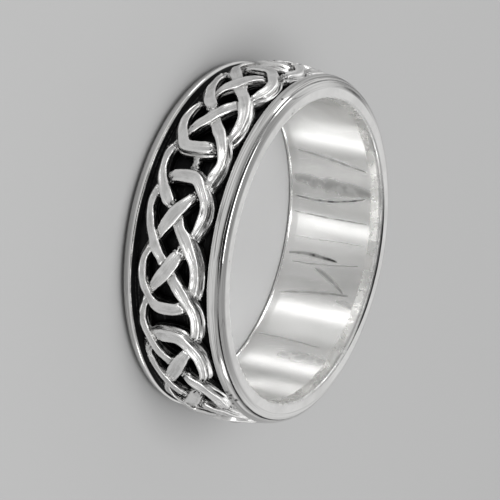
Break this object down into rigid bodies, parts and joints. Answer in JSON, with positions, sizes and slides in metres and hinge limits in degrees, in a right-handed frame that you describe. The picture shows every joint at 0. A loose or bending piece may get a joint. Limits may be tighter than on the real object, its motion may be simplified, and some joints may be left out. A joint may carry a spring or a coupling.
{
  "type": "celtic knot spinner ring",
  "caption": "Finger ring with a plain inner band, raised rims and an openwork celtic knot band that spins in the channel between them.",
  "frame": {"origin": "middle of the lower rim's flat face, which the ring lies on", "axes": "+Z along the ring's axis, which the finger and the knot band's spin share"},
  "size_m": [0.0228, 0.0228, 0.007],
  "materials": {
    "band_silver": "polished, with a blackened channel",
    "knot_silver": "cast and satin polished, blackened in its recesses"
  },
  "bodies": {
    "inner_band": {"inner_band": "band_silver"},
    "knot_band": {"knot_band": "knot_silver"}
  },
  "joints": [
    {"name": "knot_band_spin", "type": "hinge", "parent": "inner_band", "child": "knot_band", "pos_m": [0, 0, 0.0035], "axis": [0, 0, 1], "continuous": true}
  ]
}
